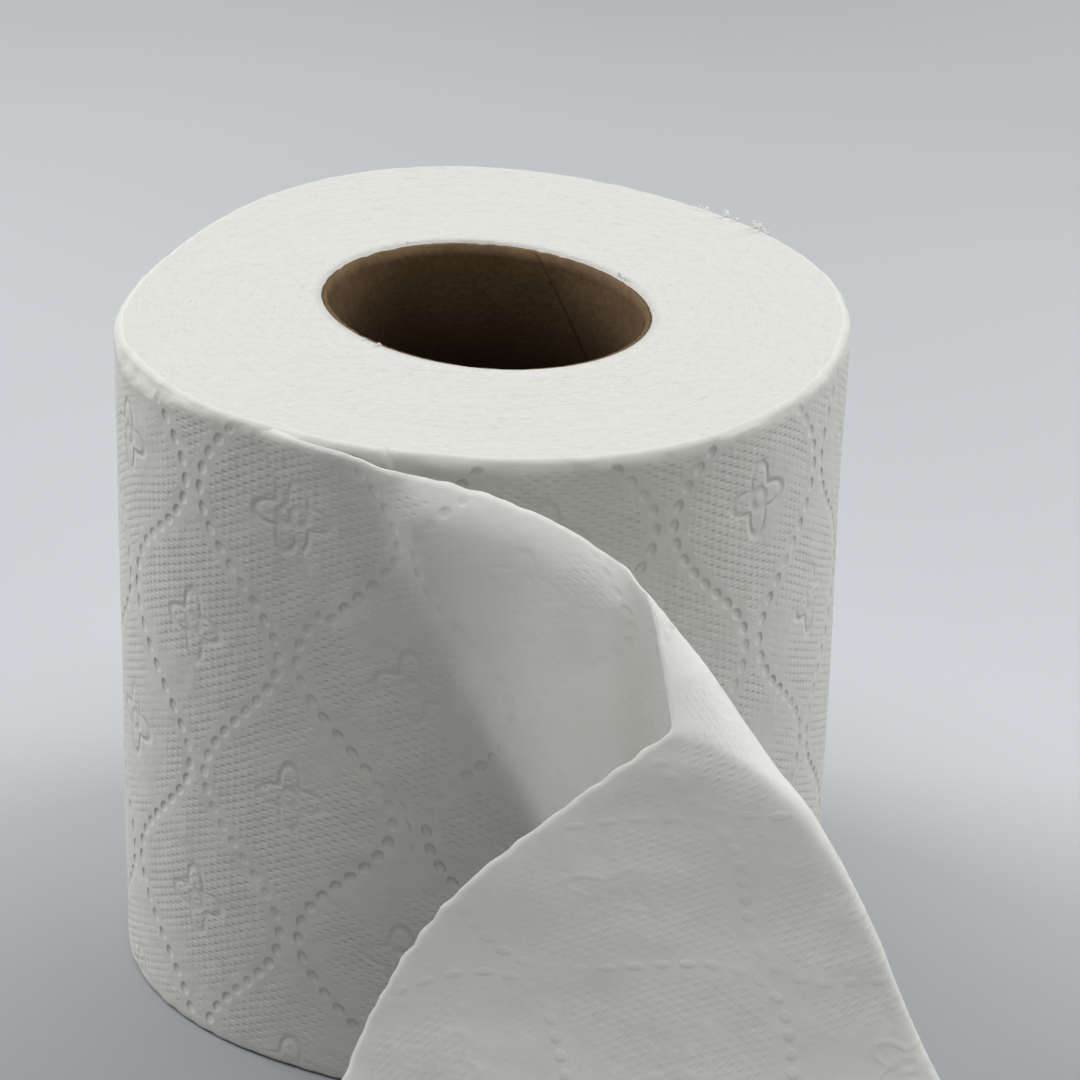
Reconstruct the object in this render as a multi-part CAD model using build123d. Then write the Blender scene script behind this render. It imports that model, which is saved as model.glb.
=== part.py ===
from build123d import *
from math import comb, cos, radians, sin, sqrt
import os

os.makedirs("parts", exist_ok=True)

# Driving dimensions, in millimetres and degrees.
# The roll stands on its end: its axis is +Z, its base is at z = 0, and its front is towards -Y.
sheet_width = 100.0
roll_diameter = 108.4
core_diameter = 47.6
card_thickness = 0.8
tissue_thickness = 0.5
rim_bevel = 0.9

# Out of round: each lobe is (lobes in a turn, share of the radius, bearing of a crest).
roll_lobes = [(2, 0.036, 95), (3, 0.022, -25), (4, 0.021, 20)]
core_lobes = [(2, 0.075, -48)]
outline_spans = 12

# The wound turns show on both ends as one shallow spiral line.
turns_shown = 2
turn_line_width = 0.5
turn_line_depth = 0.35
turn_line_margin = 2.4
arcs_per_turn = 4

# The loose tail: one line for each fold, from under the outer turn to the free end.
# Each line crosses the sheet from its top edge to its bottom edge in five points.
# A point is (bearing about the roll, distance out from the roll's side, height as a share of the width).
tail_folds = {
    "under": [(-115, -1.5, 1), (-105, -1.5, 0.75), (-94.5, -1.5, 0.5), (-83.5, -2, 0.25), (-74, -2, 0)],
    "leaving": [(-99, 2.2, 0.995), (-89, 1.5, 0.75), (-78, 2, 0.5), (-68, 2, 0.25), (-59, 2.5, 0)],
    "standing": [(-82, 8.5, 0.968), (-76.5, 16, 0.75), (-68, 19, 0.5), (-60, 20, 0.25), (-52, 20.5, 0)],
    "ridge": [(-74.5, 15.5, 0.912), (-64, 33.5, 0.735), (-55.5, 36, 0.468), (-52, 38.5, 0.214), (-43, 45, 0)],
    "over": [(-72, 21, 0.885), (-61.5, 32.5, 0.691), (-57, 45, 0.44), (-53, 42, 0.133), (-40.5, 56, 0)],
    "crease": [
        (-72.5, 31, 0.756), (-58.5, 46, 0.69), (-59, 52, 0.372), (-54.5, 56.5, 0.102), (-43.5, 69.5, 0),
    ],
    "flap_high": [
        (-82.5, 29, 0.65), (-68.5, 40, 0.515), (-62.5, 50, 0.35), (-57, 63, 0.14), (-50, 75, 0.005),
    ],
    "flap_low": [
        (-96.5, 26.5, 0.405), (-83.5, 33, 0.25), (-72.5, 46.5, 0.12), (-65, 67.5, 0.03), (-58.5, 85, 0),
    ],
    "table": [(-103, 31.5, 0.1), (-91, 43, 0.02), (-81, 57.5, 0.005), (-73, 75.5, 0), (-67, 94, 0)],
    "end": [(-107, 63, 0), (-96, 70, 0), (-86.5, 82, 0), (-79, 98, 0), (-73, 115.5, 0)],
}
# How firmly a fold is creased, at the top edge and at the bottom edge. The others are soft, at 1.
soft_fold = (1, 1)
crease_firmness = {"over": (1.5, 1), "crease": (3, 1)}


def lobed_radius(mean_radius, lobes, bearing):
    out_of_round = sum(share * cos(radians(count * (bearing - crest))) for count, share, crest in lobes)
    return mean_radius * (1 + out_of_round)


def roll_radius(bearing):
    return lobed_radius(roll_diameter / 2, roll_lobes, bearing)


def core_radius(bearing):
    return lobed_radius(core_diameter / 2, core_lobes, bearing)


def polar(radius, bearing, height=0.0):
    return Vector(radius * cos(radians(bearing)), radius * sin(radians(bearing)), height)


def heading(radius_at, bearing):
    before, after = bearing - 0.01, bearing + 0.01
    return (polar(radius_at(after), after) - polar(radius_at(before), before)).normalized()


# Two arcs that leave the start and reach the end along the given headings, and meet smoothly between them.
def arc_pair(start, start_heading, end, end_heading):
    span = end - start
    both_headings = start_heading + end_heading
    bend = 2 * (1 - start_heading.dot(end_heading))
    along = 2 * span.dot(both_headings)
    reach = (sqrt(along**2 + 4 * bend * span.dot(span)) - along) / (2 * bend)
    chord = span - both_headings * reach
    middle = start + start_heading * reach + chord / 2
    return [Edge.make_tangent_arc(start, start_heading, middle), Edge.make_tangent_arc(middle, chord, end)]


def closed_outline(radius_at):
    bearings = [i * 360 / outline_spans for i in range(outline_spans + 1)]
    points = [polar(radius_at(bearing), bearing) for bearing in bearings]
    headings = [heading(radius_at, bearing) for bearing in bearings]
    edges = []
    for i in range(outline_spans):
        edges += arc_pair(points[i], headings[i], points[i + 1], headings[i + 1])
    return Face(Wire(edges))


def upright(face, height):
    return extrude(face, amount=height, dir=(0, 0, 1))


# The card tube: one oval wall, as long as the sheet is wide.
def make_core():
    outside = closed_outline(core_radius)
    inside = closed_outline(lambda bearing: core_radius(bearing) - card_thickness)
    return upright(outside - inside, sheet_width)


# The spiral that the turns make on an end of the roll, as a narrow flat band of short arcs.
def spiral_points(shift):
    steps = 2 * arcs_per_turn * turns_shown
    points = []
    for i in range(steps + 1):
        bearing = i * 180 / arcs_per_turn
        low = core_radius(bearing) + turn_line_margin
        high = roll_radius(bearing) - rim_bevel - turn_line_margin
        points.append(polar(low + (high - low) * i / steps + shift, bearing))
    return points


def arc_chain(points):
    return [Edge.make_three_point_arc(*points[i : i + 3]) for i in range(0, len(points) - 2, 2)]


def turn_line():
    outer = spiral_points(turn_line_width / 2)
    inner = spiral_points(-turn_line_width / 2)
    inner.reverse()
    ends = [Edge.make_line(outer[-1], inner[0]), Edge.make_line(inner[-1], outer[0])]
    return Face(Wire(arc_chain(outer) + arc_chain(inner) + ends))


# The wound part of the web, with bevelled rims and the core's hole.
def make_wound_roll():
    body = upright(closed_outline(roll_radius), sheet_width)
    body = chamfer(body.edges().filter_by(GeomType.CIRCLE), rim_bevel)
    body -= upright(closed_outline(core_radius), sheet_width)
    line = upright(turn_line(), turn_line_depth)
    return body - [line, Pos(0, 0, sheet_width - turn_line_depth) * line]


# The poles of one fold line, each with its weight, which fades from the top edge to the bottom edge.
def fold_poles(name):
    places = [polar(roll_radius(b) + out, b, share * sheet_width) for b, out, share in tail_folds[name]]
    firm_top, firm_bottom = crease_firmness.get(name, soft_fold)
    firmness = [firm_top, firm_bottom, firm_bottom]
    last, fade = len(places) - 1, len(firmness) - 1
    poles = []
    for k in range(last + fade + 1):
        weight, weighted_place = 0, Vector(0, 0, 0)
        for i in range(max(0, k - fade), min(last, k) + 1):
            share = comb(last, i) * comb(fade, k - i) / comb(last + fade, k) * firmness[k - i]
            weight += share
            weighted_place += places[i] * share
        poles.append((weighted_place, weight))
    return poles


def halfway(first, second):
    return [((p + q) / 2, (v + w) / 2) for (p, v), (q, w) in zip(first, second)]


# The tail is a chain of curved patches that meet smoothly halfway between the fold lines.
# It is thickened towards the roll's side of the sheet and trimmed level with both ends of the roll.
def make_tail():
    lines = [fold_poles(name) for name in tail_folds]
    joints = [halfway(a, b) for a, b in zip(lines, lines[1:])]
    joints[0], joints[-1] = lines[0], lines[-1]
    patches = []
    for rows in zip(joints, lines[1:-1], joints[1:]):
        points = [[place / weight for place, weight in row] for row in rows]
        weights = [[weight for place, weight in row] for row in rows]
        patches.append(Face.make_bezier_surface(points, weights))
    sheet = Solid.thicken(Shell(patches), tissue_thickness)
    reach = 5 * roll_diameter
    return sheet & Pos(0, 0, sheet_width / 2) * Box(reach, reach, sheet_width)


cardboard_core = make_core()
tissue_web = make_wound_roll() + make_tail()

export_step(cardboard_core, "parts/cardboard_core.step")
export_step(tissue_web, "parts/tissue_web.step")
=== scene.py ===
import bpy
import bmesh
import math
import random
import numpy as np
from mathutils import Matrix, Vector, noise


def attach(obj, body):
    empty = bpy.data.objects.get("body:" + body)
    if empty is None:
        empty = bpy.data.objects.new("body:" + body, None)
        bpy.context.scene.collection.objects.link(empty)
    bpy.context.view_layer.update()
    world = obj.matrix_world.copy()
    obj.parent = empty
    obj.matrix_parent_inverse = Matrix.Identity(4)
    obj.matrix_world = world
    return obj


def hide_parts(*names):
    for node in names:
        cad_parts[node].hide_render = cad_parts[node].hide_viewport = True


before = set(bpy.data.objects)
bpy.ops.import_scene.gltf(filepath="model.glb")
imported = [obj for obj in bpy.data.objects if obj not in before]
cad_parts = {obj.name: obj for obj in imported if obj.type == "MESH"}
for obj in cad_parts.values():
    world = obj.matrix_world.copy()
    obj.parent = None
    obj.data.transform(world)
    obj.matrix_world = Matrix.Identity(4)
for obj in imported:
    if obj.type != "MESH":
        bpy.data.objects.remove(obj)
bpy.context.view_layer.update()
mm = 0.001
mergeDistance = 0.004 * mm
print("frame loaded")

# The wound roll. Its outline, base and ends match the CAD node tissue_web.
roll = {
    "diameter": 108.4 * mm,
    "lobes": [(2, 0.036, 95), (3, 0.022, -25), (4, 0.021, 20)],  # lobes a turn, share, bearing of a crest
    "coreDiameter": 47.6 * mm,
    "coreLobes": [(2, 0.075, -48)],
    "height": 100 * mm,
    "rimRadius": 0.9 * mm,
    "plyStep": 0.35 * mm,  # how far the last turn stands proud of the one under it
    "plyEdge": 1.1 * mm,  # how far the last turn's cut edge lies below the end
    "plyWaver": 0.9,  # how unevenly that edge runs, as a share of its depth
    "plyWaverSize": 0.22,  # sizes of what is uneven round the roll are shares of its radius
    "plySoftness": 0.4 * mm,
    "partingTop": -103,  # bearing where the last turn ends on the roll, under the tail, at its top and foot
    "partingBottom": -62,
    "steadyReach": 25,  # degrees beside the parting line where dents fade, so that the tail seats there
    "columns": 440,
    "sideRows": 124,
    "endRows": 16,
    "holeRows": 8,
    "coreGap": 0.05 * mm,
    "dent": 0.4 * mm,
    "dentSize": 0.5,
    "dentLength": 60 * mm,
    "raggedRim": 0.3 * mm,  # the rims are worn soft and uneven
    "raggedLeast": 0.6,
    "raggedSize": 0.045,
    "raggedReach": 1.6 * mm,
    "slipBearing": -149,  # the last turn has slipped down here, and shows the one under it
    "slipDepth": 1.1 * mm,
    "slipStep": 0.7 * mm,
    "slipReach": 11,
    "slipWaverSize": 0.05,
    "slipBulge": 0.3,  # how far the slipped turn swells under its edge, as a share of its step
    "slipBulgeReach": 3 * mm,
    "endDish": 0.3 * mm,
    "endWaver": 0.25 * mm,
    "endWaverSize": 9 * mm,
}

# Each unevenness has its own seed, so that no two run alike.
seeds = {
    "ends": 0.4,
    "softFolds": 0.7,
    "sheetEdge": 1.1,
    "dents": 1.7,
    "cardEdge": 2.2,
    "plyEdge": 3.1,
    "slip": 4.4,
    "crinkles": 5.2,
    "rims": 6.3,
}

# The pressed pattern: lines of dashes on a lattice of ogees, a blossom in each cell, and dots between them.
pattern = {
    "lineGap": 17 * mm,
    "cellHeight": 44 * mm,
    "bulge": 7.0 * mm,
    "dashStep": 2.9 * mm,
    "dashLength": 1.7 * mm,
    "dashWidth": 1.3 * mm,
    "dashSoftness": 1.9,
    "bandReach": 1.9,  # the plain band beside a line of dashes, in widths of a dash
    "dotStep": 1.28 * mm,
    "dotMargin": (1 * mm, 3.5 * mm),  # the dots fade in between these distances from an end
    "dashMargin": (0.7 * mm, 2.5 * mm),
    "petals": 4,
    "petalSwing": 0.26,  # how deep the petals are cut in, as a share of the blossom's radius
    "blossomRadius": 5.2 * mm,
    "blossomRing": 0.24,  # radius of the ring in its middle, as a share
    "blossomLine": 1.1 * mm,
    "stray": 3 * mm,  # how far the pattern wanders, because the soft web creeps
    "grooveDepth": 0.06 * mm,
    "grooveWidth": 1.1 * mm,
    "petalGrooveWidth": 0.9 * mm,
}


def lobedRadius(diameter, lobes, bearing):
    outOfRound = 0
    for count, share, crest in lobes:
        outOfRound += share * math.cos(math.radians(count * (bearing - crest)))
    return diameter / 2 * (1 + outOfRound)


def rollRadius(bearing):
    return lobedRadius(roll["diameter"], roll["lobes"], bearing)


def coreRadius(bearing):
    return lobedRadius(roll["coreDiameter"], roll["coreLobes"], bearing)


def polar(radius, bearing, height):
    angle = math.radians(bearing)
    return Vector((radius * math.cos(angle), radius * math.sin(angle), height))


# Length along the roll's side from bearing 0, so that the pattern runs on from the roll into the tail.
bearingTable = np.linspace(-480, 480, 1921)
rimPoints = np.array([polar(rollRadius(b), b, 0) for b in bearingTable])
sideTable = np.concatenate([[0], np.cumsum(np.linalg.norm(np.diff(rimPoints, axis=0), axis=1))])
sideTable -= np.interp(0, bearingTable, sideTable)


def sideLength(bearing):
    return float(np.interp(bearing, bearingTable, sideTable))


def partingBearing(height):
    share = min(max(height / roll["height"], 0), 1)
    return roll["partingBottom"] + (roll["partingTop"] - roll["partingBottom"]) * share


def wrapped(value, half):
    return (value + half) % (2 * half) - half


def softBump(x, y, z, size, seed):
    return noise.noise(Vector((x / size + seed, y / size - seed, z / size + 2 * seed)))


# Where the two blossoms of each repeat stand: length along the web, and height.
blossomPlaces = [(0.5 * pattern["lineGap"], 0.5 * pattern["cellHeight"]), (1.5 * pattern["lineGap"], 0.0)]


# How deep the pattern presses the web at a place given by its length and height. The shader adds the dashes.
def grooveAt(along, height):
    gap, bulge, cell = pattern["lineGap"], pattern["bulge"], pattern["cellHeight"]
    wave = bulge * math.cos(2 * math.pi * height / cell)
    slope = 2 * math.pi / cell * bulge * math.sin(2 * math.pi * height / cell)
    nearest = min(abs(wrapped(along - wave, gap)), abs(wrapped(along - gap + wave, gap)))
    across = nearest / math.sqrt(1 + slope * slope)
    depth = math.exp(-((across / pattern["grooveWidth"]) ** 2))
    swing = pattern["petalSwing"]
    for shift, lift in blossomPlaces:
        x, y = wrapped(along - shift, gap), wrapped(height - lift, cell / 2)
        lobes = math.cos(pattern["petals"] * math.atan2(y, x))
        away = math.hypot(x, y) - pattern["blossomRadius"] * (1 - swing + swing * lobes)
        depth = max(depth, math.exp(-((away / pattern["petalGrooveWidth"]) ** 2)))
    return pattern["grooveDepth"] * depth


# Makes a smooth-shaded piece of a bmesh.
def newPiece(name, mesh, materials):
    data = bpy.data.meshes.new(name)
    mesh.to_mesh(data)
    mesh.free()
    data.polygons.foreach_set("use_smooth", [True] * len(data.polygons))
    for material in materials:
        data.materials.append(material)
    piece = bpy.data.objects.new(name, data)
    bpy.context.scene.collection.objects.link(piece)
    return piece


# Materials. Most of the helpers add a node and return its output.
def startMaterial(name):
    material = bpy.data.materials.new(name)
    material.use_nodes = True
    tree = material.node_tree
    tree.nodes.clear()
    output = tree.nodes.new("ShaderNodeOutputMaterial")
    shader = tree.nodes.new("ShaderNodeBsdfPrincipled")
    tree.links.new(shader.outputs[0], output.inputs[0])
    return material, tree, shader


def plug(tree, socket, value):
    if isinstance(value, bpy.types.NodeSocket):
        tree.links.new(value, socket)
    else:
        socket.default_value = value


def calc(tree, operation, *values):
    node = tree.nodes.new("ShaderNodeMath")
    node.operation = operation
    for socket, value in zip(node.inputs, values):
        plug(tree, socket, value)
    return node.outputs[0]


def remap(tree, value, low, high, toLow=0.0, toHigh=1.0):
    node = tree.nodes.new("ShaderNodeMapRange")
    node.interpolation_type = "SMOOTHSTEP"
    for socket, number in zip(node.inputs, (value, low, high, toLow, toHigh)):
        plug(tree, socket, number)
    return node.outputs[0]


def noiseNode(tree, vector, scale, detail=2.0, roughness=0.5):
    node = tree.nodes.new("ShaderNodeTexNoise")
    tree.links.new(vector, node.inputs["Vector"])
    node.inputs["Scale"].default_value = scale
    node.inputs["Detail"].default_value = detail
    node.inputs["Roughness"].default_value = roughness
    return node.outputs["Fac"]


def mixColour(tree, factor, first, second):
    node = tree.nodes.new("ShaderNodeMix")
    node.data_type = "RGBA"
    plug(tree, node.inputs[0], factor)
    plug(tree, node.inputs[6], first)
    plug(tree, node.inputs[7], second)
    return node.outputs[2]


def uvCoordinate(tree):
    return tree.nodes.new("ShaderNodeTexCoord").outputs["UV"]


def objectCoordinate(tree):
    return tree.nodes.new("ShaderNodeTexCoord").outputs["Object"]


def stretched(tree, vector, scale):
    node = tree.nodes.new("ShaderNodeMapping")
    tree.links.new(vector, node.inputs["Vector"])
    node.inputs["Scale"].default_value = scale
    return node.outputs[0]


# Gives 0 beside either end of the roll and 1 further in, and fades between the margin's two distances.
def clearOfEnds(tree, height, margin):
    fromMiddle = calc(tree, "ABSOLUTE", calc(tree, "SUBTRACT", height, roll["height"] / 2))
    return remap(tree, fromMiddle, roll["height"] / 2 - margin[0], roll["height"] / 2 - margin[1])


# The height is in metres, so the bump's distance is 1.
def bumpNode(tree, height, shader):
    node = tree.nodes.new("ShaderNodeBump")
    node.inputs["Distance"].default_value = 1
    tree.links.new(height, node.inputs["Height"])
    tree.links.new(node.outputs[0], shader.inputs["Normal"])


def finishSurface(tree, shader, colour, roughness, sheen):
    tree.links.new(colour, shader.inputs["Base Color"])
    shader.inputs["Roughness"].default_value = roughness
    shader.inputs["Specular IOR Level"].default_value = sheen


# Lets a share of the light through, from behind.
def letLightThrough(tree, shader, colour, share):
    surface = shader.outputs[0].links[0].to_socket
    through = tree.nodes.new("ShaderNodeBsdfTranslucent")
    blend = tree.nodes.new("ShaderNodeMixShader")
    plug(tree, blend.inputs[0], share)
    tree.links.new(colour, through.inputs[0])
    tree.links.new(shader.outputs[0], blend.inputs[1])
    tree.links.new(through.outputs[0], blend.inputs[2])
    tree.links.new(blend.outputs[0], surface)


# The pressed dashes run at even steps along each ogee line, whose slope sets their angle.
# Along a line its length grows with the height by a mean and one ripple, averaged here over a cell.
# The second value is the plain band that each line of dashes lies in.
def dashNodes(tree, u, v):
    gap, bulge, cell = pattern["lineGap"], pattern["bulge"], pattern["cellHeight"]
    steps = np.linspace(0, 2 * math.pi, 400, endpoint=False)
    stretch = np.sqrt(1 + (2 * math.pi / cell * bulge * np.sin(steps)) ** 2)
    mean = float(stretch.mean())
    swing = float(2 * (stretch * np.cos(2 * steps)).mean())
    dashStep = mean * cell / round(mean * cell / pattern["dashStep"])
    turn = calc(tree, "MULTIPLY", v, 2 * math.pi / cell)
    wave = calc(tree, "MULTIPLY", calc(tree, "COSINE", turn), bulge)
    slope = calc(tree, "MULTIPLY", calc(tree, "SINE", turn), -2 * math.pi / cell * bulge)
    length = calc(tree, "SQRT", calc(tree, "MULTIPLY_ADD", slope, slope, 1.0))
    ripple = calc(tree, "SINE", calc(tree, "MULTIPLY", turn, 2.0))
    evenRun = calc(tree, "MULTIPLY", v, mean)
    run = calc(tree, "MULTIPLY_ADD", ripple, swing * cell / (4 * math.pi), evenRun)
    beside = calc(tree, "WRAP", run, dashStep / 2, -dashStep / 2)
    pits, bands = [], []
    for sign, shift in ((-1, 0.0), (1, -gap)):
        away = calc(tree, "MULTIPLY_ADD", wave, float(sign), calc(tree, "ADD", u, shift))
        away = calc(tree, "WRAP", away, gap, -gap)
        across = calc(tree, "DIVIDE", away, length)
        lean = calc(tree, "MULTIPLY", calc(tree, "MULTIPLY", across, slope), float(-sign))
        along = calc(tree, "DIVIDE", calc(tree, "ADD", beside, lean), pattern["dashLength"] / 2)
        width = pattern["dashWidth"]
        bands.append(remap(tree, calc(tree, "ABSOLUTE", across), pattern["bandReach"] * width, width))
        across = calc(tree, "DIVIDE", across, width / 2)
        round2 = calc(tree, "MULTIPLY_ADD", along, along, calc(tree, "MULTIPLY", across, across))
        pits.append(remap(tree, round2, pattern["dashSoftness"], 0.0))
    return calc(tree, "MAXIMUM", *pits), calc(tree, "MAXIMUM", *bands)


# A blossom, drawn with one pressed line round a small ring.
def blossomNodes(tree, u, v):
    gap, cell, line = pattern["lineGap"], pattern["cellHeight"], pattern["blossomLine"]
    size, swing = pattern["blossomRadius"], pattern["petalSwing"]
    marks = []
    for shift, lift in blossomPlaces:
        x = calc(tree, "WRAP", calc(tree, "SUBTRACT", u, shift), gap, -gap)
        y = calc(tree, "WRAP", calc(tree, "SUBTRACT", v, lift), cell / 2, -cell / 2)
        radius = calc(tree, "SQRT", calc(tree, "MULTIPLY_ADD", x, x, calc(tree, "MULTIPLY", y, y)))
        turned = calc(tree, "MULTIPLY", calc(tree, "ARCTAN2", y, x), float(pattern["petals"]))
        petal = calc(tree, "MULTIPLY_ADD", calc(tree, "COSINE", turned), swing * size, (1 - swing) * size)
        outline = calc(tree, "ABSOLUTE", calc(tree, "SUBTRACT", radius, petal))
        ring = calc(tree, "ABSOLUTE", calc(tree, "SUBTRACT", radius, pattern["blossomRing"] * size))
        marks.append(remap(tree, calc(tree, "MINIMUM", outline, ring), line, 0.0))
    return calc(tree, "MAXIMUM", *marks)


# Tissue finish.
tissue = {
    "colour": (0.71, 0.71, 0.678, 1),
    # painted shade: the dashes, dots and blossoms are coloured towards this darker colour, as if shaded in
    # their hollows, and a random mottle mixes in the same colour
    "mottleAndPaintedShadeColour": (0.59, 0.59, 0.555, 1),
    "paintedLighterLooseColour": (0.98, 0.98, 0.965, 1),  # painted light: the loose sheet is coloured lighter than the roll, for the light it catches; it also lets some light through
    "looseMottleAndPaintedShadeColour": (0.88, 0.88, 0.86, 1),
    "dashDepth": 0.37 * mm,
    "blossomDepth": 0.2 * mm,
    "dotDepth": 0.13 * mm,
    "fibreHeight": 0.035 * mm,
    "puffHeight": 0.42 * mm,
    "creepScale": 26,  # scales are in cells of noise to the metre
    "wearScale": 75,
    "fibreScale": 1500,
    "puffScale": 170,
    "mottleScale": 420,
    "leastDots": 0.12,  # share of their depth that dots and dashes keep where the web is worn
    "leastDashes": 0.4,
    # painted shade: the dashes, dots and blossoms are coloured darker by these shares, as shade in their
    # hollows; backShade weakens it on the back, where they stand out
    "dashShade": 0.4,
    "dotShade": 0.15,
    "blossomShade": 0.7,
    "mottleShade": 0.16,
    "backShade": 0.55,
    "roughness": 0.95,
    "sheen": 0.15,
    "lightThrough": 0.42,
    "loosePressed": 0.42,  # share of the pattern's depth that is left in the loose sheet
    "fluffThrough": 0.6,
}


def patternPlace(tree, place):
    split = tree.nodes.new("ShaderNodeSeparateXYZ")
    tree.links.new(uvCoordinate(tree), split.inputs[0])
    strayed = []
    for way, share in ((1, split.outputs[0]), (-1, split.outputs[1])):
        creep = noiseNode(tree, stretched(tree, place, (1, 1, way)), tissue["creepScale"], 1)
        creep = calc(tree, "SUBTRACT", creep, 0.5)
        strayed.append(calc(tree, "MULTIPLY_ADD", creep, pattern["stray"], share))
    return strayed[0], strayed[1], split.outputs[1]


def dotNodes(tree, u, v):
    half = math.pi / pattern["dotStep"]
    columns = calc(tree, "COSINE", calc(tree, "MULTIPLY", u, half))
    rows = calc(tree, "COSINE", calc(tree, "MULTIPLY", v, 2 * half))
    return remap(tree, calc(tree, "MULTIPLY", columns, rows), 0.1, 0.95)


# A side of 1 is where the pattern is pressed in, and -1 is the back of the sheet, where it stands out.
# A sheet's attribute "loose" is 0 where it lies on the roll and 1 where light can pass through it and its
# colour is painted lighter.
def makeTissue(name, side, single):
    material, tree, shader = startMaterial(name)
    place = objectCoordinate(tree)
    u, v, level = patternPlace(tree, place)
    dashes, plainBand = dashNodes(tree, u, v)
    blossoms = blossomNodes(tree, u, v)
    wear = noiseNode(tree, place, tissue["wearScale"], 2)
    patchy = remap(tree, wear, 0.36, 0.6, tissue["leastDots"], 1.0)
    clear = calc(tree, "SUBTRACT", 1.0, calc(tree, "MAXIMUM", plainBand, blossoms))
    clear = calc(tree, "MULTIPLY", clear, clearOfEnds(tree, level, pattern["dotMargin"]))
    dots = calc(tree, "MULTIPLY", calc(tree, "MULTIPLY", dotNodes(tree, u, v), patchy), clear)
    worn = remap(tree, wear, 0.66, 0.42, tissue["leastDashes"], 1.0)
    worn = calc(tree, "MULTIPLY", worn, clearOfEnds(tree, level, pattern["dashMargin"]))
    # painted shade: how dark the dashes and blossoms are coloured
    paintedPitShade = calc(tree, "MAXIMUM", dashes, calc(tree, "MULTIPLY", blossoms, tissue["blossomShade"]))
    paintedPitShade = calc(tree, "MULTIPLY", paintedPitShade, worn)
    dashes = calc(tree, "MULTIPLY", dashes, worn)
    blossoms = calc(tree, "MULTIPLY", blossoms, worn)
    height = calc(tree, "MULTIPLY", dashes, -side * tissue["dashDepth"])
    height = calc(tree, "MULTIPLY_ADD", blossoms, -side * tissue["blossomDepth"], height)
    height = calc(tree, "MULTIPLY_ADD", dots, -side * tissue["dotDepth"], height)
    if single:
        loose = tree.nodes.new("ShaderNodeAttribute")
        loose.attribute_name = "loose"
        shallow = calc(tree, "MULTIPLY_ADD", loose.outputs["Fac"], tissue["loosePressed"] - 1, 1.0)
        height = calc(tree, "MULTIPLY", height, shallow)
        paintedPitShade = calc(tree, "MULTIPLY", paintedPitShade, shallow)
    fibres = noiseNode(tree, place, tissue["fibreScale"], 3, 0.65)
    puffs = noiseNode(tree, place, tissue["puffScale"], 2, 0.55)
    height = calc(tree, "MULTIPLY_ADD", fibres, tissue["fibreHeight"], height)
    height = calc(tree, "MULTIPLY_ADD", puffs, tissue["puffHeight"], height)
    bumpNode(tree, height, shader)
    # painted shade in the pits, dots and blossoms, then a random mottle
    shade = calc(tree, "MULTIPLY", dots, tissue["dotShade"])
    shade = calc(tree, "MULTIPLY_ADD", paintedPitShade, tissue["dashShade"], shade)
    shade = calc(tree, "MULTIPLY", shade, 1.0 if side > 0 else tissue["backShade"])
    mottle = noiseNode(tree, place, tissue["mottleScale"], 2)
    shade = calc(tree, "ADD", shade, remap(tree, mottle, 0.3, 0.75, 0.0, tissue["mottleShade"]))
    colour = mixColour(tree, shade, tissue["colour"], tissue["mottleAndPaintedShadeColour"])
    # painted light: where the sheet is loose, its colour is painted lighter than the roll's
    if single:
        paintedLighterLooseColour = mixColour(tree, shade, tissue["paintedLighterLooseColour"], tissue["looseMottleAndPaintedShadeColour"])
        colour = mixColour(tree, loose.outputs["Fac"], colour, paintedLighterLooseColour)
    finishSurface(tree, shader, colour, tissue["roughness"], tissue["sheen"])
    if single:
        share = calc(tree, "MULTIPLY", loose.outputs["Fac"], tissue["lightThrough"])
        letLightThrough(tree, shader, colour, share)
    return material


# The roll's ends: hundreds of cut edges that mat together like felt, with faint streaks round the roll.
felt = {
    "colour": (0.67, 0.67, 0.65, 1),
    "shadeColour": (0.56, 0.56, 0.535, 1),
    "streakDepth": 0.14 * mm,
    "streakScale": 2600,
    "streakStretch": (1, 0.07, 1),
    "waveDepth": 0.3 * mm,
    "waveScale": 420,
    "waveStretch": (1, 0.05, 1),
    "tuftDepth": 0.36 * mm,
    "tuftScale": 620,
    "speckDepth": 0.1 * mm,
    "speckScale": 900,
    "speckStretch": (1, 0.3, 1),
    "streakShade": 0.2,
    "tuftShade": 0.18,
    "roughness": 1.0,
    "sheen": 0.1,
}


def makeCutEnds():
    material, tree, shader = startMaterial("tissueCutEnds")
    uv = uvCoordinate(tree)
    streaks = noiseNode(tree, stretched(tree, uv, felt["streakStretch"]), felt["streakScale"], 4, 0.7)
    waves = noiseNode(tree, stretched(tree, uv, felt["waveStretch"]), felt["waveScale"], 3, 0.6)
    tufts = noiseNode(tree, objectCoordinate(tree), felt["tuftScale"], 4, 0.6)
    specks = noiseNode(tree, stretched(tree, uv, felt["speckStretch"]), felt["speckScale"], 2)
    height = calc(tree, "MULTIPLY", streaks, felt["streakDepth"])
    height = calc(tree, "MULTIPLY_ADD", waves, felt["waveDepth"], height)
    height = calc(tree, "MULTIPLY_ADD", tufts, felt["tuftDepth"], height)
    height = calc(tree, "MULTIPLY_ADD", remap(tree, specks, 0.62, 0.74), felt["speckDepth"], height)
    bumpNode(tree, height, shader)
    streakShade = remap(tree, streaks, 0.35, 0.7, 0.0, felt["streakShade"])
    tuftShade = remap(tree, tufts, 0.35, 0.7, 0.0, felt["tuftShade"])
    shade = calc(tree, "ADD", streakShade, tuftShade)
    colour = mixColour(tree, shade, felt["colour"], felt["shadeColour"])
    finishSurface(tree, shader, colour, felt["roughness"], felt["sheen"])
    return material


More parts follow.
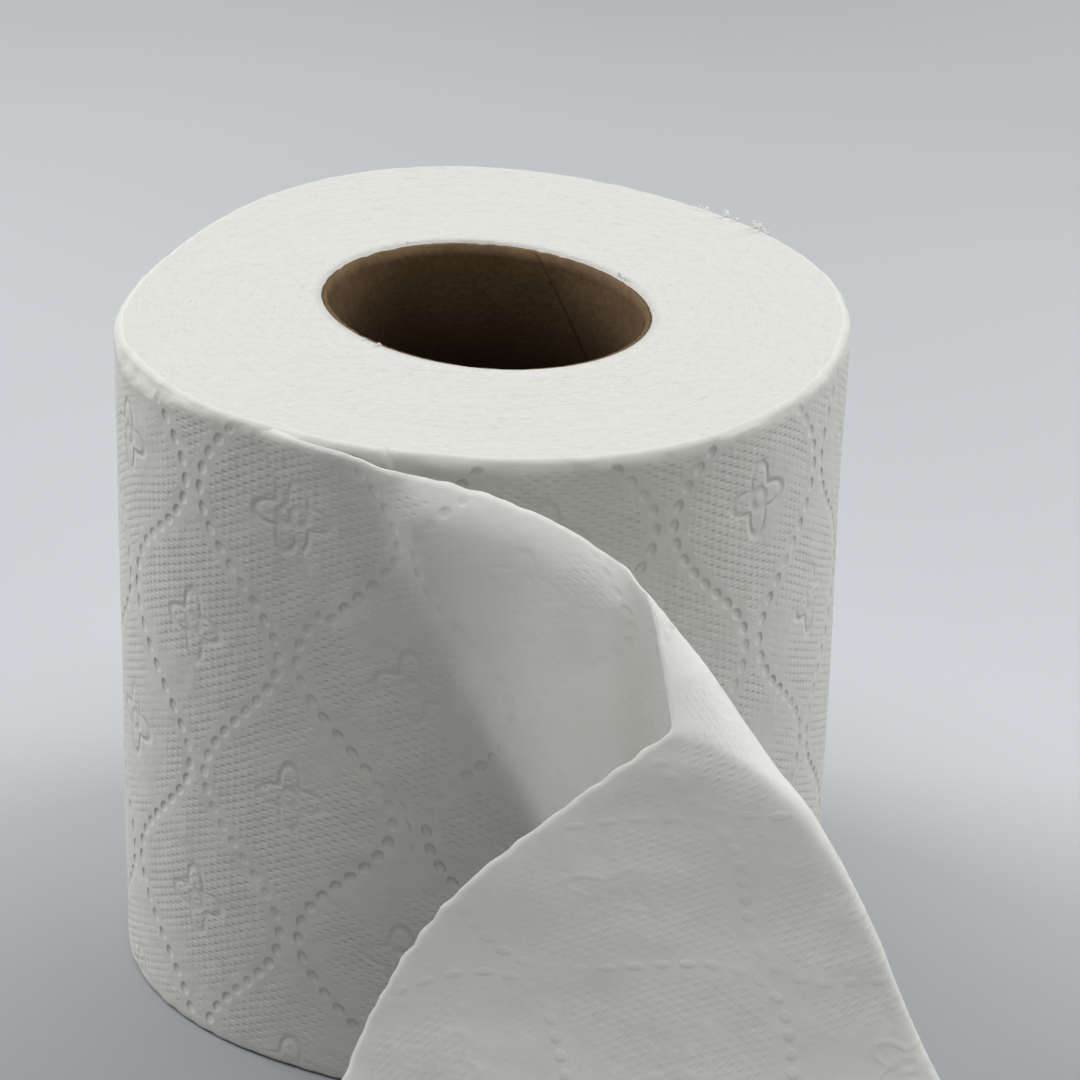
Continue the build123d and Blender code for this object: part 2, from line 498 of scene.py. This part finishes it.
# Lint: a pale fluff that light passes through, in the loose sheet's painted-lighter colours.
def makeFluff():
    material, tree, shader = startMaterial("tissueFluff")
    clouds = remap(tree, noiseNode(tree, objectCoordinate(tree), tissue["fibreScale"], 3), 0.3, 0.7)
    colour = mixColour(tree, clouds, tissue["paintedLighterLooseColour"], tissue["looseMottleAndPaintedShadeColour"])
    finishSurface(tree, shader, colour, 1.0, 0.5)
    letLightThrough(tree, shader, colour, tissue["fluffThrough"])
    return material


# Card for the tube: grey-brown pulp, with the spiral joint of its plies.
card = {
    "colour": (0.118, 0.072, 0.034, 1),
    "lightColour": (0.2, 0.132, 0.072, 1),
    "paintedDepthShadeColour": (0.022, 0.01, 0.003, 1),  # painted shade: the card is coloured darker towards the middle of the tube, where little light reaches
    "paintedDepthShadeStrength": 0.95,
    "paintedDepthShadeMargin": (3 * mm, 21 * mm),  # the painted shade grows between these distances from an end
    "wall": 0.8 * mm,
    "columns": 240,
    "wallRows": 50,
    "tissueGap": 0.02 * mm,
    "setBack": 0.25 * mm,  # how far its top edge lies below the cut tissue
    "fray": 0.35 * mm,
    "fraySize": 0.06,
    "seamRise": 1.3,  # rise of the ply joint for each length round the tube
    "seamGap": 62 * mm,
    "seamWidth": 1.2 * mm,
    "seamDepth": 0.25 * mm,
    "pulpDepth": 0.12 * mm,
    "pulpScale": 900,
    "pulpShade": 0.5,
    "cloudScale": 130,
    "cloudShade": 0.4,
    "fibreDepth": 0.05 * mm,
    "fibreScale": 2200,
    "fibreStretch": (1, 1, 0.25),
    "roughness": 0.85,
    "sheen": 0.25,
}


def makeCard():
    material, tree, shader = startMaterial("rolledCard")
    split = tree.nodes.new("ShaderNodeSeparateXYZ")
    tree.links.new(uvCoordinate(tree), split.inputs[0])
    place = objectCoordinate(tree)
    climb = calc(tree, "MULTIPLY_ADD", split.outputs[0], -card["seamRise"], split.outputs[1])
    seam = calc(tree, "WRAP", climb, card["seamGap"], 0.0)
    ridge = remap(tree, seam, 0.0, card["seamWidth"])
    pulp = noiseNode(tree, place, card["pulpScale"], 5, 0.7)
    cloud = noiseNode(tree, place, card["cloudScale"], 3, 0.6)
    fibres = noiseNode(tree, stretched(tree, place, card["fibreStretch"]), card["fibreScale"], 2, 0.6)
    height = calc(tree, "MULTIPLY", ridge, card["seamDepth"])
    height = calc(tree, "MULTIPLY_ADD", pulp, card["pulpDepth"], height)
    height = calc(tree, "MULTIPLY_ADD", fibres, card["fibreDepth"], height)
    bumpNode(tree, height, shader)
    pulpShade = remap(tree, pulp, 0.3, 0.75, 0.0, card["pulpShade"])
    cloudShade = remap(tree, cloud, 0.35, 0.7, 0.0, card["cloudShade"])
    colour = mixColour(tree, calc(tree, "ADD", pulpShade, cloudShade), card["colour"], card["lightColour"])
    # painted shade: the card is coloured darker deep inside the tube
    level = tree.nodes.new("ShaderNodeSeparateXYZ")
    tree.links.new(place, level.inputs[0])
    inner = clearOfEnds(tree, level.outputs[2], card["paintedDepthShadeMargin"])
    colour = mixColour(tree, calc(tree, "MULTIPLY", inner, card["paintedDepthShadeStrength"]), colour, card["paintedDepthShadeColour"])
    finishSurface(tree, shader, colour, card["roughness"], card["sheen"])
    return material


tissueFace = makeTissue("tissueFace", 1, False)
tailFace = makeTissue("tailFace", 1, True)
tailBack = makeTissue("tailBack", -1, True)
cutEnds = makeCutEnds()
tissueFluff = makeFluff()
rolledCard = makeCard()
print("materials made")


# A closed ring of grid: each column is a bearing, each row a step round the section from hole to hole.
def ringGrid(columns, rows):
    mesh = bmesh.new()
    bmesh.ops.create_grid(mesh, x_segments=columns, y_segments=rows, size=0.5)
    cells = [(v, round((v.co.x + 0.5) * columns), round((v.co.y + 0.5) * rows)) for v in mesh.verts]
    return mesh, cells


# Heights of the side's rows, which crowd together on the rounded rims.
def sideStations():
    low = [roll["rimRadius"] * share for share in (0, 0.04, 0.14, 0.3, 0.5, 0.75, 1)]
    count = roll["sideRows"]
    start, stop = low[-1], roll["height"] - low[-1]
    middle = [start + (stop - start) * i / count for i in range(1, count)]
    return low + middle + [roll["height"] - z for z in reversed(low)]


def rimInset(height):
    rim = roll["rimRadius"]
    near = rim - min(height, roll["height"] - height, rim)
    return rim - math.sqrt(max(rim * rim - near * near, 0))


# The side's radius at one place. seat is 0 just after the last turn's end and 1 when it comes round again.
def sideRadius(bearing, height, seat):
    radius = rollRadius(bearing) - rimInset(height) - roll["plyStep"] * (1 - seat)
    x, y = math.cos(math.radians(bearing)), math.sin(math.radians(bearing))
    slipped = math.exp(-((wrapped(bearing - roll["slipBearing"], 180) / roll["slipReach"]) ** 2))
    waver = roll["plyWaver"] * softBump(x, y, 0, roll["plyWaverSize"], seeds["plyEdge"])
    edge = roll["height"] - roll["plyEdge"] * (1 + waver)
    edge -= roll["slipDepth"] * slipped * (1 + softBump(x, y, 0, roll["slipWaverSize"], seeds["slip"]))
    if height > edge:
        step = 0.5 * roll["plyStep"] + roll["slipStep"] * slipped
        radius -= min((height - edge) / roll["plySoftness"], 1) * step
    else:
        bulge = max(1 - (edge - height) / roll["slipBulgeReach"], 0) ** 2
        radius += roll["slipBulge"] * roll["slipStep"] * slipped * bulge
    beside = 1 - min(height, roll["height"] - height, roll["raggedReach"]) / roll["raggedReach"]
    ragged = roll["raggedLeast"] + softBump(x, y, 0, roll["raggedSize"], seeds["rims"])
    radius -= roll["raggedRim"] * beside * ragged
    inside = 1 - abs(2 * height / roll["height"] - 1) ** 6  # no dents or grooves at the ends
    steady = min(min(seat, 1 - seat) * 360 / roll["steadyReach"], 1)
    dent = softBump(x, y, height / roll["dentLength"], roll["dentSize"], seeds["dents"])
    radius += roll["dent"] * inside * steady * dent
    return radius - inside * grooveAt(sideLength(bearing), height)


# A point on either end, at a share of the way from the hole to the rim. The ends are a little dished.
def endPoint(bearing, share, height):
    outer = rollRadius(bearing) - roll["rimRadius"]
    inner = coreRadius(bearing) + roll["coreGap"]
    place = polar(inner + (outer - inner) * share, bearing, height)
    up = 1 if height > roll["height"] / 2 else -1
    calm = 4 * share * (1 - share)
    waver = roll["endWaver"] * softBump(*place, roll["endWaverSize"], seeds["ends"])
    place.z += up * calm * (waver - roll["endDish"])
    return place


def makeWoundRoll():
    columns, endRows, holeRows = roll["columns"], roll["endRows"], roll["holeRows"]
    section = [("hole", roll["height"] * i / holeRows) for i in range(holeRows, 0, -1)]
    section += [("base", i / endRows) for i in range(endRows)]
    section += [("side", z) for z in sideStations()]
    section += [("top", 1 - i / endRows) for i in range(1, endRows)]
    rows = len(section)
    mesh, cells = ringGrid(columns + 1, rows)
    uvLayer = mesh.loops.layers.uv.new("webMap")
    kinds, place = {}, {}
    for vertex, column, row in cells:
        kind, value = section[row % rows]
        height = {"base": 0, "top": roll["height"]}.get(kind, value)
        step = min(column, columns)
        seat = step / columns if column <= columns else 0
        bearing = partingBearing(height) + 360 * step / columns
        if kind == "side":
            vertex.co = polar(sideRadius(bearing, value, seat), bearing, value)
        elif kind == "hole":
            vertex.co = polar(coreRadius(bearing) + roll["coreGap"], bearing, height)
        else:
            vertex.co = endPoint(bearing, value, height)
        kinds[vertex] = kind
        place[vertex] = (bearing, height)
    for face in mesh.faces:
        onSide = all(kinds[vertex] == "side" for vertex in face.verts)
        face.material_index = 0 if onSide else 1
        for loop in face.loops:
            bearing, height = place[loop.vert]
            if onSide:
                loop[uvLayer].uv = (sideLength(bearing), height)
            else:
                radius = math.hypot(loop.vert.co.x, loop.vert.co.y)
                loop[uvLayer].uv = (radius, math.radians(bearing) * roll["diameter"] / 2)
    bmesh.ops.remove_doubles(mesh, verts=mesh.verts, dist=mergeDistance)
    bmesh.ops.recalc_face_normals(mesh, faces=mesh.faces)
    return newPiece("woundRoll", mesh, [tissueFace, cutEnds])


woundRoll = makeWoundRoll()
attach(woundRoll, "root")
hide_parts("tissue_web")
print("wound roll made")

# The loose tail.
tail = {
    "thickness": 0.35 * mm,
    "lengthSteps": 250,
    "widthSteps": 124,
    "curveSteps": 1250,
    "creaseFade": 1.8,  # how fast the creases soften from the top edge downwards
    "creaseCrowding": 0.8,  # how many more points there are at the firm crease
    "crowdingReach": 0.02,
    "edgeWander": 0.35 * mm,
    "edgeWanderSize": 2.4 * mm,
    "edgeRows": 3,
    "endMargin": 0.2 * mm,  # the sheet stays this far inside the planes of both ends
    "softFolds": 0.5 * mm,
    "softFoldSize": 16 * mm,
    "crinkleShare": 0.35,
    "crinkleSize": 6 * mm,
    "lipLean": 2.4 * mm,  # how far the top edge leans back where the tail stands
    "lipWidth": (6.5 * mm, 13 * mm),  # at the left end and at the crease
    "lipWidening": 20 * mm,
    "standingRun": (-99 * mm, -58 * mm),  # the standing part, as lengths round the roll from bearing 0
    "standingFade": (8 * mm, 5 * mm),
    "ridgeRun": -96 * mm,  # a soft ridge down the standing part: its length at the top edge
    "ridgeSlope": 0.38,  # how far it moves to the right for each length down
    "ridgeHeight": 0.9 * mm,
    "ridgeWidth": 4.6 * mm,
    "ridgeFade": (35 * mm, 60 * mm),
    "bendStart": (-31.3 * mm, 82.7 * mm),  # a soft bend down the flap: its length and height at the crease
    "bendSlope": -1.107,  # how far it drops for each length towards the free end
    "bendRise": 1.0 * mm,
    "bendWidth": 8 * mm,
    "bendFadeIn": (-37.3 * mm, -29.3 * mm),
    "bendFadeOut": (4 * mm, 24 * mm),
    "startSink": 0.3 * mm,  # the hidden start lies this far inside the last turn
    "startRun": 14 * mm,
    "seatGap": 0.03 * mm,
    "valleySoftness": 3.8 * mm,
    "looseFrom": 0.1 * mm,  # between these distances from the roll the sheet comes to look loose: it lets light through and is painted lighter
    "looseTo": 5 * mm,
    "pressedShare": 0.45,  # the loose sheet has sprung back, so its pattern is shallower
    "toothStep": 1.6 * mm,
    "toothDepth": 0.7 * mm,
}
# Each fold line crosses the sheet from its top edge to its bottom edge. The lines are the CAD's, but one
# more lies before them, the leaving line lies further back and out, and the folds at the crease are firmer.
# A point is (bearing, distance out from the side in millimetres, share of the height).
tailFolds = {
    "start": [(-127, -1.5, 1), (-117, -1.5, 0.75), (-106.5, -1.5, 0.5), (-95.5, -2, 0.25), (-86, -2, 0)],
    "under": [(-115, -1.5, 1), (-105, -1.5, 0.75), (-94.5, -1.5, 0.5), (-83.5, -2, 0.25), (-74, -2, 0)],
    "leaving": [(-102, 3, 0.995), (-93, 3, 0.75), (-82, 3.2, 0.5), (-70, 2.6, 0.25), (-60, 2.5, 0)],
    "standing": [(-82, 8.5, 0.968), (-76.5, 16, 0.75), (-68, 19, 0.5), (-60, 20, 0.25), (-52, 20.5, 0)],
    "ridge": [
        (-74.5, 15.5, 0.912), (-64, 33.5, 0.735), (-55.5, 36, 0.468), (-52, 38.5, 0.214), (-43, 45, 0),
    ],
    "over": [(-72, 21, 0.885), (-61.5, 32.5, 0.691), (-57, 45, 0.44), (-53, 42, 0.133), (-40.5, 56, 0)],
    "crease": [
        (-72.5, 31, 0.756), (-58.5, 46, 0.69), (-59, 52, 0.372), (-54.5, 56.5, 0.102), (-43.5, 69.5, 0),
    ],
    "flapHigh": [
        (-82.5, 29, 0.65), (-68.5, 40, 0.515), (-62.5, 50, 0.35), (-57, 63, 0.14), (-50, 75, 0.005),
    ],
    "flapLow": [
        (-96.5, 26.5, 0.405), (-83.5, 33, 0.25), (-72.5, 46.5, 0.12), (-65, 67.5, 0.03), (-58.5, 85, 0),
    ],
    "table": [(-103, 31.5, 0.1), (-91, 43, 0.02), (-81, 57.5, 0.005), (-73, 75.5, 0), (-67, 94, 0)],
    "end": [(-107, 63, 0), (-96, 70, 0), (-86.5, 82, 0), (-79, 98, 0), (-73, 115.5, 0)],
}
# How firmly the sheet is creased at a fold line, at its top edge and at its bottom edge. The rest are soft.
softFold = (1, 1)
creaseFirmness = {"ridge": (1.5, 1), "over": (3, 1), "crease": (26, 2)}
creaseLine = list(tailFolds).index("crease")


# One point of each fold line, at a share of the width from the top edge, with its weight.
def foldPoints(share):
    points = []
    for name, line in tailFolds.items():
        place = Vector((0, 0, 0))
        last = len(line) - 1
        for i, (bearing, out, heightShare) in enumerate(line):
            weight = math.comb(last, i) * share ** i * (1 - share) ** (last - i)
            place += weight * polar(rollRadius(bearing) + out * mm, bearing, heightShare * roll["height"])
        firmTop, firmBottom = creaseFirmness.get(name, softFold)
        firm = firmBottom + (firmTop - firmBottom) * (1 - share) ** tail["creaseFade"]
        points.append((place, firm))
    return points


# A smooth curve over the fold points, drawn closer to those with a greater weight.
def acrossFolds(points, steps):
    spans = len(points) - 2
    curve = []
    for step in range(steps + 1):
        run = step / steps * spans
        i = min(int(run), spans - 1)
        t = run - i
        (p, a), (q, b), (r, c) = points[i:i + 3]
        first, firstWeight = (p * a, a) if i == 0 else ((p * a + q * b) / 2, (a + b) / 2)
        final, finalWeight = (r * c, c) if i == spans - 1 else ((q * b + r * c) / 2, (b + c) / 2)
        top = first * (1 - t) ** 2 + q * b * 2 * t * (1 - t) + final * t * t
        weight = firstWeight * (1 - t) ** 2 + b * 2 * t * (1 - t) + finalWeight * t * t
        curve.append(top / weight)
    return curve


# Points along the curve, evenly spaced except that they crowd together at the firm crease.
def spacedAlong(curve, steps):
    points = np.array(curve)
    run = np.concatenate([[0], np.cumsum(np.linalg.norm(np.diff(points, axis=0), axis=1))])
    creaseShare = (creaseLine - 0.5) / (len(tailFolds) - 2)
    crease = run[round(creaseShare * (len(curve) - 1))] / run[-1]
    pull, reach = tail["creaseCrowding"], tail["crowdingReach"]
    even = np.linspace(0, 1, steps + 1)
    middle = crease * (1 - 2 * pull * reach) + pull * reach
    crowded = (even - pull * reach * (np.tanh((even - middle) / reach) + 1)) / (1 - 2 * pull * reach)
    goal = np.clip(crowded, 0, 1) * run[-1]
    return np.stack([np.interp(goal, run, points[:, k]) for k in range(3)], axis=1), goal


def smoothStep(value, low, high):
    t = min(max((value - low) / (high - low), 0), 1)
    return t * t * (3 - 2 * t)


# Soft shapes of the standing part: its top edge leans back, and a ridge runs down beside the roll.
def standingRise(along, height):
    start, stop = tail["standingRun"]
    fadeIn, fadeOut = tail["standingFade"]
    stands = smoothStep(along, start, start + fadeIn) * (1 - smoothStep(along, stop - fadeOut, stop))
    drop = roll["height"] - height
    narrow, wide = tail["lipWidth"]
    lipWidth = narrow + (wide - narrow) * smoothStep(along, start + tail["lipWidening"], stop)
    lip = max(1 - drop / lipWidth, 0)
    ridgeLine = tail["ridgeRun"] + tail["ridgeSlope"] * drop
    ridge = math.exp(-(((along - ridgeLine) / tail["ridgeWidth"]) ** 2))
    ridge *= 1 - smoothStep(drop, *tail["ridgeFade"])
    return stands * tail["lipLean"] * (0.5 - lip * lip) + tail["ridgeHeight"] * ridge


# The flap stands a little proud along its soft bend.
def flapBend(along, height):
    length, level = tail["bendStart"]
    slope = tail["bendSlope"]
    across = (height - level - slope * (along - length)) / math.sqrt(1 + slope * slope)
    fade = smoothStep(along, *tail["bendFadeIn"]) * (1 - smoothStep(along, *tail["bendFadeOut"]))
    return tail["bendRise"] * fade * math.exp(-((across / tail["bendWidth"]) ** 2))


# The tail lies on the last turn until it parts from it, with a soft valley where it does.
def seatedOnRoll(place, run):
    bearing = math.degrees(math.atan2(place.y, place.x))
    reach = math.hypot(place.x, place.y)
    seat = min(1 + (bearing - partingBearing(place.z)) / 360, 1)
    parted = smoothStep(run, 0, tail["startRun"])
    under = sideRadius(bearing, place.z, seat) + tail["seatGap"]
    gap = reach - under
    out = (gap + math.sqrt(gap * gap + tail["valleySoftness"] ** 2)) / 2
    out = out * parted - tail["startSink"] * (1 - parted)
    away = smoothStep(out, tail["looseFrom"], tail["looseTo"])
    return polar(under + out, bearing, place.z), away, sideLength(bearing) * (1 - away)


# The sheet's places, row by row down its width, and each place's length along the web.
def sheetPlaces(lengthSteps, widthSteps):
    places = np.zeros((widthSteps + 1, lengthSteps + 1, 3))
    lengths = np.zeros((widthSteps + 1, lengthSteps + 1))
    for row in range(widthSteps + 1):
        curve = acrossFolds(foldPoints(row / widthSteps), tail["curveSteps"])
        places[row], run = spacedAlong(curve, lengthSteps)
        lengths[row] = run + sideLength(math.degrees(math.atan2(curve[0].y, curve[0].x)))
    return places, lengths


# How far the loose sheet stands out from its smooth shape.
def sheetRise(along, height):
    rise = tail["softFolds"] * softBump(along, height, 0, tail["softFoldSize"], seeds["softFolds"])
    crinkle = softBump(along, height, 0, tail["crinkleSize"], seeds["crinkles"])
    rise += tail["crinkleShare"] * tail["softFolds"] * crinkle
    rise += standingRise(along, height) - flapBend(along, height)
    return rise - tail["pressedShare"] * grooveAt(along, height)


def makeLooseTail():
    lengthSteps, widthSteps = tail["lengthSteps"], tail["widthSteps"]
    places, lengths = sheetPlaces(lengthSteps, widthSteps)
    alongWay = np.gradient(places, axis=1)
    acrossWay = np.gradient(places, axis=0)
    normals = np.cross(acrossWay, alongWay)
    normals /= np.linalg.norm(normals, axis=2, keepdims=True)
    mesh = bmesh.new()
    bmesh.ops.create_grid(mesh, x_segments=lengthSteps, y_segments=widthSteps, size=0.5)
    uvLayer = mesh.loops.layers.uv.new("webMap")
    looseLayer = mesh.verts.layers.float.new("loose")
    mapped = {}
    for vertex in mesh.verts:
        column = round((vertex.co.x + 0.5) * lengthSteps)
        row = widthSteps - round((vertex.co.y + 0.5) * widthSteps)
        place = Vector(places[row, column])
        along, height = lengths[row, column], roll["height"] * (1 - row / widthSteps)
        place, away, seatedLength = seatedOnRoll(place, along - lengths[row, 0])
        place += Vector(normals[row, column]) * sheetRise(along, height) * away
        edge = max(1 - min(row, widthSteps - row) / tail["edgeRows"], 0) * away
        wander = softBump(along, 0, height, tail["edgeWanderSize"], seeds["sheetEdge"])
        place += Vector(acrossWay[row, column]).normalized() * tail["edgeWander"] * edge * wander
        if column == lengthSteps:
            tooth = abs(wrapped(height, tail["toothStep"] / 2)) / (tail["toothStep"] / 2)
            place += Vector(alongWay[row, column]).normalized() * tail["toothDepth"] * tooth
        place.z = min(max(place.z, tail["endMargin"]), roll["height"] - tail["endMargin"])
        vertex.co = place
        vertex[looseLayer] = away
        mapped[vertex] = (along * away + seatedLength, height)
    for face in mesh.faces:
        for loop in face.loops:
            loop[uvLayer].uv = mapped[loop.vert]
    bmesh.ops.recalc_face_normals(mesh, faces=mesh.faces)
    mesh.faces.ensure_lookup_table()
    first = mesh.faces[0]
    outward = first.calc_center_median()
    outward.z = 0
    if first.normal.dot(outward) < 0:
        bmesh.ops.reverse_faces(mesh, faces=mesh.faces)
    piece = newPiece("looseTail", mesh, [tailFace, tailBack])
    solid = piece.modifiers.new("thickness", "SOLIDIFY")
    solid.thickness = tail["thickness"]
    solid.offset = -1
    solid.material_offset = 1
    return piece, float(lengths[:, -1].mean() - lengths[:, 0].mean())


looseTail, tailLength = makeLooseTail()
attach(looseTail, "root")
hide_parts("tissue_web")
print("loose tail made,", round(tailLength * 1000), "mm long")


# The card tube: inside wall, top edge, outside wall and bottom edge as one closed ring.
def makeCardTube():
    columns, wallRows = card["columns"], card["wallRows"]
    section = [("inside", i / wallRows) for i in range(wallRows + 1)]
    section += [("outside", 1 - i / wallRows) for i in range(wallRows + 1)]
    rows = len(section)
    mesh, cells = ringGrid(columns, rows)
    uvLayer = mesh.loops.layers.uv.new("cardMap")
    place = {}
    for vertex, column, row in cells:
        kind, share = section[row % rows]
        bearing = 360 * column / columns
        height = share * roll["height"]
        if share in (0, 1):
            x, y = math.cos(math.radians(bearing)), math.sin(math.radians(bearing))
            fray = card["fray"] * softBump(x, y, share, card["fraySize"], seeds["cardEdge"])
            height = min(max(height + fray, 0), roll["height"])
        radius = coreRadius(bearing) - (card["wall"] if kind == "inside" else card["tissueGap"])
        lowered = card["setBack"] if share == 1 else 0
        vertex.co = polar(radius, bearing, height - lowered)
        place[vertex] = (coreRadius(bearing) * math.radians(bearing), height)
    for face in mesh.faces:
        for loop in face.loops:
            loop[uvLayer].uv = place[loop.vert]
    bmesh.ops.remove_doubles(mesh, verts=mesh.verts, dist=mergeDistance)
    bmesh.ops.recalc_face_normals(mesh, faces=mesh.faces)
    return newPiece("cardTube", mesh, [rolledCard])


cardTube = makeCardTube()
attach(cardTube, "root")
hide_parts("cardboard_core")
print("card tube made")

# Lint: a few torn wisps that stand on the roll's far rim and on the tube's edge.
# A wisp is (bearing, size in millimetres), and the ranges are shares of its size.
lint = {
    "rimWisps": [(45.5, 1.1), (44, 0.7), (38.5, 1.3), (36.5, 0.8), (51, 0.6)],
    "coreWisps": [(31, 0.8), (27, 0.6), (-131, 0.5), (-138, 0.4), (118, 0.4)],
    "rimInset": 1 * mm,
    "coreOutset": 0.3 * mm,
    "tufts": 6,
    "rise": (-0.1, 0.75),
    "tuftSizes": [(0.12, 0.2), (0.2, 0.42), (0.22, 0.5)],
    "spread": 1.1,  # degrees round the roll
    "lean": 0.8,
    "swing": 0.5,
}


# Each wisp is a cluster of small flattened tufts, rooted in the web.
def makeLint():
    chance = random.Random(12)
    mesh = bmesh.new()
    wisps = [(rollRadius(b) - lint["rimInset"], b, size) for b, size in lint["rimWisps"]]
    wisps += [(coreRadius(b) + lint["coreOutset"], b, size) for b, size in lint["coreWisps"]]
    for radius, bearing, size in wisps:
        for tuft in range(lint["tufts"]):
            rise = size * chance.uniform(*lint["rise"]) * mm
            turned = bearing + chance.uniform(-lint["spread"], lint["spread"])
            made = bmesh.ops.create_icosphere(mesh, subdivisions=2, radius=1)
            slim = [size * chance.uniform(low, high) * mm for low, high in lint["tuftSizes"]]
            bmesh.ops.scale(mesh, verts=made["verts"], vec=slim)
            lean = Matrix.Rotation(chance.uniform(-lint["lean"], lint["lean"]), 4, "X")
            swing = math.radians(bearing) + chance.uniform(-lint["swing"], lint["swing"])
            root = Matrix.Translation(polar(radius, turned, roll["height"] + rise))
            facing = root @ Matrix.Rotation(swing, 4, "Z") @ lean
            bmesh.ops.transform(mesh, matrix=facing, verts=made["verts"])
    return newPiece("lintWisps", mesh, [tissueFluff])


lintWisps = makeLint()
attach(lintWisps, "root")
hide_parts("tissue_web")
print("lint made")

# Stage: pale floor, soft lamps, and the camera at the photograph's angle.
# A lamp is (name, place, where it points, size, power, colour), in metres and watts.
stage = {
    "floorSize": 6.0,
    "floorColour": (0.55, 0.57, 0.605, 1),
    "floorPaintedShadeColour": (0.27, 0.28, 0.3, 1),
    "floorPaintedShadeFade": (0.06, -0.14),  # painted shade: the floor darkens between these places, towards the front
    "cloudScale": 3.0,
    "cloudShade": 0.18,
    "floorRoughness": 0.7,
    "floorSheen": 0.1,
    "worldColour": (0.86, 0.86, 0.81, 1),
    "worldStrength": 0.2,
    "lamps": [
        ("overhead", (0, -0.08, 0.85), (0, -0.03, 0.05), (0.9, 0.3), 4.7, (1, 1, 1)),
        ("leftBack", (-0.75, 0.35, 0.45), (0, 0, 0.05), (0.4, 0.4), 4.3, (1, 1, 0.98)),
        ("rightBack", (0.75, 0.3, 0.45), (0, 0, 0.05), (0.4, 0.4), 3.6, (1, 1, 0.98)),
        ("frontFill", (0, -1.3, 0.15), (0, 0, 0.05), (1.6, 0.3), 1.25, (1, 1, 0.84)),
    ],
    "focalPixels": 4000,
    "pictureWidth": 1080,
    "sensorWidth": 36,
    "viewRange": (0.01, 20),
    "cameraPlace": (8.667 * mm, -534.489 * mm, 317.365 * mm),
    "cameraDip": 25.5,
    "cameraRoll": 1.5,
}


def makeFloor():
    mesh = bmesh.new()
    bmesh.ops.create_grid(mesh, x_segments=1, y_segments=1, size=stage["floorSize"] / 2)
    material, tree, shader = startMaterial("floorPaper")
    place = objectCoordinate(tree)
    split = tree.nodes.new("ShaderNodeSeparateXYZ")
    tree.links.new(place, split.inputs[0])
    # painted shade: the floor is coloured darker towards the front, with large random clouds
    near = remap(tree, split.outputs[1], *stage["floorPaintedShadeFade"])
    cloud = noiseNode(tree, place, stage["cloudScale"], 1)
    shade = calc(tree, "ADD", near, remap(tree, cloud, 0.3, 0.7, 0.0, stage["cloudShade"]))
    colour = mixColour(tree, shade, stage["floorColour"], stage["floorPaintedShadeColour"])
    finishSurface(tree, shader, colour, stage["floorRoughness"], stage["floorSheen"])
    newPiece("floor", mesh, [material])


def makeWorld():
    world = bpy.data.worlds.new("studio")
    world.use_nodes = True
    background = world.node_tree.nodes["Background"]
    background.inputs[0].default_value = stage["worldColour"]
    background.inputs[1].default_value = stage["worldStrength"]
    bpy.context.scene.world = world


def addLamp(name, place, aim, size, power, colour):
    data = bpy.data.lights.new(name, "AREA")
    data.shape = "RECTANGLE"
    data.size, data.size_y = size
    data.energy = power
    data.color = colour
    lamp = bpy.data.objects.new(name, data)
    lamp.location = place
    lamp.rotation_euler = (Vector(aim) - Vector(place)).to_track_quat("-Z", "Y").to_euler()
    bpy.context.scene.collection.objects.link(lamp)


def makeCamera():
    data = bpy.data.cameras.new("camera")
    data.sensor_width = stage["sensorWidth"]
    data.lens = stage["focalPixels"] / stage["pictureWidth"] * stage["sensorWidth"]
    data.clip_start, data.clip_end = stage["viewRange"]
    dip, turn = math.radians(stage["cameraDip"]), math.radians(stage["cameraRoll"])
    right = Vector((1, 0, 0))
    up = Vector((0, math.sin(dip), math.cos(dip)))
    ahead = Vector((0, math.cos(dip), -math.sin(dip)))
    cameraRight = right * math.cos(turn) + up * math.sin(turn)
    cameraUp = up * math.cos(turn) - right * math.sin(turn)
    camera = bpy.data.objects.new("camera", data)
    facing = Matrix((cameraRight, cameraUp, -ahead)).transposed().to_4x4()
    camera.matrix_world = Matrix.Translation(stage["cameraPlace"]) @ facing
    bpy.context.scene.collection.objects.link(camera)
    bpy.context.scene.camera = camera


makeFloor()
makeWorld()
for lamp in stage["lamps"]:
    addLamp(*lamp)
makeCamera()
bpy.context.scene.view_settings.view_transform = "Standard"
print("stage set")
